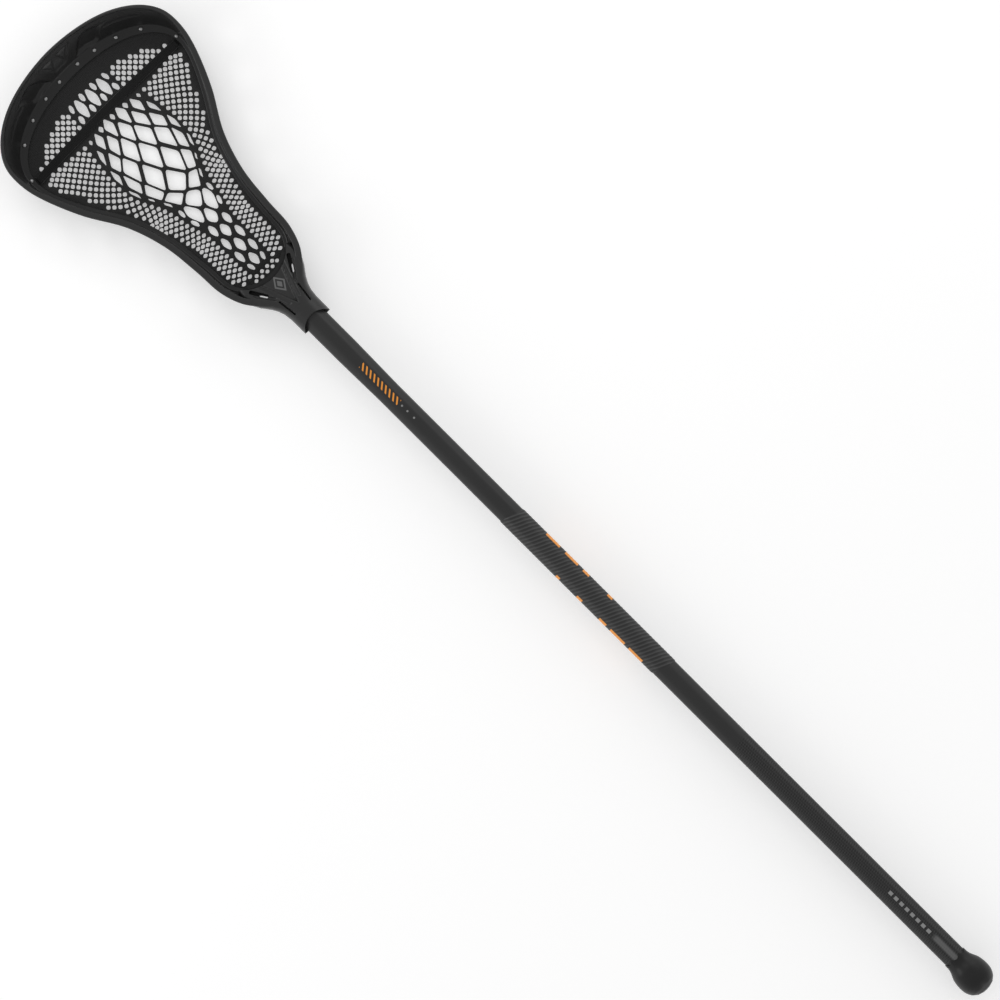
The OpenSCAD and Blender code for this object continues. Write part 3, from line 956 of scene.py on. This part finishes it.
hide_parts("ball_stop")


# --- The head screw ---------------------------------------------------------------------------
# A pan head screw of blackened steel up through the back of the socket into the shaft.
screw = Paint("screw_metal", Base_Color=grey(0.12), Metallic=0.9)
screw.drive(Roughness=0.32 + 0.25 * screw.noise(700))
screw.bump(screw.noise(1500), 0.02)
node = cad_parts["head_screw"]
node.data.materials.clear()
node.data.materials.append(screw.material)


# --- The shaft --------------------------------------------------------------------------------
# An eight-sided tube of carbon fibre in resin: satin grey, with printed dashes and dots below
# the head and bare twill weave near the butt.
SHAFT_FROM = 265.9
SHAFT_TO = 1085.6
SHAFT_FLATS = [(SHAFT_FROM, 21.8), (346, 21.8), (396, 20), (SHAFT_TO, 20)]
SHAFT_WALL = 1.5
CORNER = 2.6
ORANGE = (0.86, 0.32, 0.045, 1)
DASHES = (364, 408)
DOTS = (411.5, 417.8, 425.5)
BARE_FROM = (800, 806)
BARS = (977, 1027)
HIGHLIGHT_BAND = (1030, 1060)


def bar(flats, corner=CORNER):
    """The tube's section, as across and up from its axis."""
    return rounded(octagon(flats), corner, 5)


stops = [SHAFT_FROM, 300, 346, 356, 366, 376, 386, 396, 560, 720, 880, 1000, SHAFT_TO]
tube_rings = [[lengthways(p, d) for p in bar(lookup(d, SHAFT_FLATS))] for d in stops]
tube_rings += [[lengthways(p, d) for p in bar(lookup(d, SHAFT_FLATS) - 2 * SHAFT_WALL, CORNER - 1)]
               for d in reversed(stops)]

carbon = Paint("carbon", Specular_IOR_Level=0.25, Coat_Weight=0.08, Coat_Roughness=0.22)
bare = carbon.step(carbon.down, *BARE_FROM)
fibre = carbon.math("FRACT", (carbon.x + carbon.z * 0.6) / 4 + carbon.down / 4)
cross = carbon.math("FRACT", (carbon.x + carbon.z * 0.6) / 4 - carbon.down / 4)
steps = carbon.math("FLOOR", carbon.x / 1.2)
twill = carbon.band(carbon.math("FRACT", carbon.down / 2.4 + 0.25 * steps), 0.1, 0.55, 0.06)
checks = carbon.math("ABSOLUTE", carbon.band(fibre, 0.02, 0.5, 0.03) - carbon.band(cross, 0.02, 0.5, 0.03))
cloud = carbon.noise(18, 4)
streak = carbon.noise(260, 3)
body_grey = carbon.mix(0.7 * cloud + 0.3 * streak, grey(0.022), grey(0.029))
woven_grey = carbon.mix(checks * 0.55 + twill * 0.35, grey(0.012), grey(0.04))
colour = carbon.mix(bare, body_grey, woven_grey)
upper_face = carbon.step(carbon.z, AXIS + 8, AXIS + 9)
dash = (carbon.band(carbon.math("FRACT", (carbon.down - DASHES[0] + 0.8 * carbon.x) / 4.4), 0.3, 0.68, 0.04)
        * carbon.band(carbon.down, *DASHES) * carbon.band(carbon.x, -2.7, 2.7))
colour = carbon.mix(dash * upper_face, colour, ORANGE)
dots = 0
for spot in DOTS:
    away = carbon.math("SQRT", (carbon.down - spot) * (carbon.down - spot) + carbon.x * carbon.x)
    dots = dots + (1 - carbon.step(away, 0.6, 1.1))
bars = (carbon.band(carbon.math("FRACT", (carbon.down - BARS[0]) / 6.3), 0.06, 0.66, 0.02)
        * carbon.band(carbon.down, *BARS) * carbon.band(carbon.x, -1.5, 1.5))
colour = carbon.mix((dots + bars) * upper_face, colour, grey(0.26))
# Painted highlight: a soft lighter band down the middle of the top face near the butt.
painted_highlight = carbon.band(carbon.down, *HIGHLIGHT_BAND, 3) * carbon.band(carbon.x, -2.3, 2.3, 1) * upper_face
colour = carbon.mix(0.4 * painted_highlight, colour, grey(0.25))
carbon.drive(Base_Color=colour, Roughness=0.32 + 0.1 * cloud + 0.08 * streak)
carbon.bump(streak * 0.4 + checks * bare, 0.05)
shaft = make("shaft_tube", *loop_loft(tube_rings), carbon.material)
shade(shaft, 50)
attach(shaft, "stick")
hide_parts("shaft")


# --- The grip coat ----------------------------------------------------------------------------
# A thin coat of rubbery resin moulded over the tube, with close slanting ribs that run round it
# and orange blocks printed on its side faces.
GRIP_FROM = 539
GRIP_LONG = 177
RIB_APART = 3.41
RIB_STARTS = 9
RIB_HIGH = 0.4
GRIP_SLANT = 0.31
GRIP_ROWS = 440
GRIP_AROUND = 72
base = bar(20.12)
loop_length = [0]
for a, b in zip(base, base[1:] + base[:1]):
    loop_length.append(loop_length[-1] + math.dist(a, b))


def round_the_bar(share, grow):
    """A place on the tube's outline, this share of the way round, moved outwards."""
    want = share % 1 * loop_length[-1]
    k = max(i for i, s in enumerate(loop_length[:-1]) if s <= want)
    a, b = base[k], base[(k + 1) % len(base)]
    spot = a.lerp(b, (want - loop_length[k]) / (loop_length[k + 1] - loop_length[k]))
    return spot + spot.normalized() * grow


rings = []
ribbed = []
for k in range(GRIP_ROWS + 1):
    share_down = k / GRIP_ROWS
    ring = []
    for j in range(GRIP_AROUND):
        spot = round_the_bar(j / GRIP_AROUND, 0)
        d = GRIP_FROM + GRIP_LONG * share_down + GRIP_SLANT * spot[0]
        phase = d / RIB_APART + RIB_STARTS * j / GRIP_AROUND
        rib = 0.5 - 0.5 * math.cos(2 * math.pi * phase)
        edge = smooth(min(k, GRIP_ROWS - k), 0, 2)
        spot = round_the_bar(j / GRIP_AROUND, 0.05 + edge * (0.06 + RIB_HIGH * rib ** 1.5))
        ring.append(lengthways(spot, d))
        ribbed.append(rib)
    rings.append(ring)
inner = []
for end in (GRIP_FROM + GRIP_LONG, GRIP_FROM):
    ring = []
    for j in range(GRIP_AROUND):
        d = end + GRIP_SLANT * round_the_bar(j / GRIP_AROUND, 0)[0]
        ring.append(lengthways(round_the_bar(j / GRIP_AROUND, 0.02), d))
    inner.append(ring)
rubbery = Paint("grip")
BLOCKS = [(1, 570, 585.5), (1, 592, 606.5), (1, 612.5, 619.5), (1, 641, 646.5), (-1, 600, 604),
          (-1, 624, 630), (-1, 650, 658), (-1, 663, 679.5), (-1, 684.5, 700)]
printed = 0
for side, start, end in BLOCKS:
    printed = printed + rubbery.band(rubbery.down, start, end) * rubbery.step(side * rubbery.x, 8.4, 8.7)
worn = rubbery.noise(60, 4)
# Rib crests are painted lighter than the grooves: a painted highlight on the crests and painted shade
# between the ribs, mixed with a random worn tone.
rib_crest_light = rubbery.node("ShaderNodeAttribute", {"attribute_name": "rib"}, out="Fac")
ground = rubbery.mix(0.8 * rubbery.step(rib_crest_light, 0.45, 0.95) + 0.2 * worn, grey(0.008), grey(0.044))
rubbery.drive(Base_Color=rubbery.mix(printed, ground, ORANGE), Roughness=0.42 + 0.2 * worn)
rubbery.bump(rubbery.noise(1600), 0.03)
grip = make("grip_coat_ribs", *loop_loft(rings + inner), rubbery.material)
rib_heights = grip.data.attributes.new("rib", "FLOAT", "POINT")
rib_heights.data.foreach_set("value", ribbed + [0] * (2 * GRIP_AROUND))
shade(grip, 60)
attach(grip, "stick")
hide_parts("grip_coat")


# --- The butt cap -----------------------------------------------------------------------------
# Soft rubber, pulled over the end of the tube: an eight-sided sleeve with a scalloped lip that
# swells into a round bulb.
CAP_FROM = 1051
CAP_BULB = [(5, 10.75), (9, 12), (13.5, 13.4), (19, 14.8), (25, 15.4), (31, 14.75), (36, 12.3),
            (39.4, 8.3), (40.8, 4), (41, 0.4)]
CAP_AROUND = 80
cap_base = bar(21.4)


def on_outline(outline, angle):
    """Where a ray at this angle meets an outline round the axis."""
    way = Vector((math.cos(angle), math.sin(angle)))
    for a, b in zip(outline, outline[1:] + outline[:1]):
        cross_a = way[0] * a[1] - way[1] * a[0]
        cross_b = way[0] * b[1] - way[1] * b[0]
        if cross_a <= 0 < cross_b and a.dot(way) > 0:
            return a.lerp(b, -cross_a / (cross_b - cross_a)).length
    return outline[0].length


def bulb_radius(local):
    """Radius of the bulb this far from the cap's mouth."""
    u = lookup(local, [(d, i) for i, (d, r) in enumerate(CAP_BULB)])
    return curve([[r] for d, r in CAP_BULB], u)[0]


def lip(angle, local):
    """How far the scalloped mouth is cut back."""
    return 1.7 * abs(math.cos(4 * angle)) ** 1.5 * (1 - smooth(local, 3, 9))


CAP_MOUTH = 3.2
CAP_LONG = 37.8
CAP_RINGS = 61
turns = [2 * math.pi * j / CAP_AROUND for j in range(CAP_AROUND)]
cap_rings = []
for local in (35, CAP_MOUTH):
    ring = []
    for a in turns:
        r = on_outline(bar(20.3), a)
        ring.append(lengthways((r * math.cos(a), r * math.sin(a)), CAP_FROM + local + lip(a, local)))
    cap_rings.append(ring)
for k in range(CAP_RINGS + 1):
    local = CAP_MOUTH + CAP_LONG * math.sin(math.pi / 2 * k / CAP_RINGS) ** 0.9
    bulb = bulb_radius(local)
    blend = smooth(local, 4, 17)
    ring = []
    for a in turns:
        square = on_outline(cap_base, a)
        r = square * (1 - blend) + bulb * blend
        if local < 12:
            r = max(r, square)
        ring.append(lengthways((r * math.cos(a), r * math.sin(a)), CAP_FROM + local + lip(a, local)))
    cap_rings.append(ring)
rubber = Paint("cap_rubber", Specular_IOR_Level=0.32)
bloom = rubber.noise(90, 4)
rubber.drive(Base_Color=rubber.mix(bloom, grey(0.006), grey(0.012)), Roughness=0.34 + 0.16 * bloom)
rubber.bump(rubber.noise(1300), 0.04)
cap = make("butt_cap_rubber", *loft(cap_rings), rubber.material)
shade(cap, 40)
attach(cap, "cap")
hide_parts("butt_cap")


# --- Floor, lights and camera -----------------------------------------------------------------
# A plain white floor, soft light from all round and a camera straight above.
paper = Paint("floor", Base_Color=grey(0.8), Roughness=0.9, Specular_IOR_Level=0.1,
              Emission_Color=grey(1), Emission_Strength=0.36)
floor = make("floor", [(-20000, -20000, -1), (20000, -20000, -1), (20000, 20000, -1), (-20000, 20000, -1)],
             [(0, 1, 2, 3)], paper.material)

world = bpy.data.worlds.new("studio")
world.use_nodes = True
world.node_tree.nodes["Background"].inputs["Color"].default_value = (1, 1, 1, 1)
world.node_tree.nodes["Background"].inputs["Strength"].default_value = 0.6
bpy.context.scene.world = world
bpy.context.scene.view_settings.view_transform = "Standard"


def lamp(name, place, size, power):
    light = bpy.data.lights.new(name, "AREA")
    light.shape = "DISK"
    light.size = size
    light.energy = power
    made = bpy.data.objects.new(name, light)
    made.location = place
    made.rotation_euler = (-Vector(place)).to_track_quat("-Z", "Y").to_euler()
    bpy.context.collection.objects.link(made)


lamp("right", (1.9, 0.5, 0.9), 1.5, 6)
lamp("left", (-1.7, 1.3, 0.9), 1.4, 12)
lamp("top", (0.5, 1.9, 1.6), 1.2, 7)
lamp("end", (0.1, -2.2, 0.3), 0.6, 3)

CAMERA_HIGH = 5
VIEW_WIDE = 0.8241
camera = bpy.data.objects.new("camera", bpy.data.cameras.new("camera"))
camera.data.lens = 36 * (CAMERA_HIGH - AXIS * SCALE) / VIEW_WIDE
camera.location = (0.00203, 0.0227, CAMERA_HIGH)
camera.rotation_euler = (0, 0, math.radians(-45.07))
camera.data.clip_end = 100
bpy.context.collection.objects.link(camera)
bpy.context.scene.camera = camera
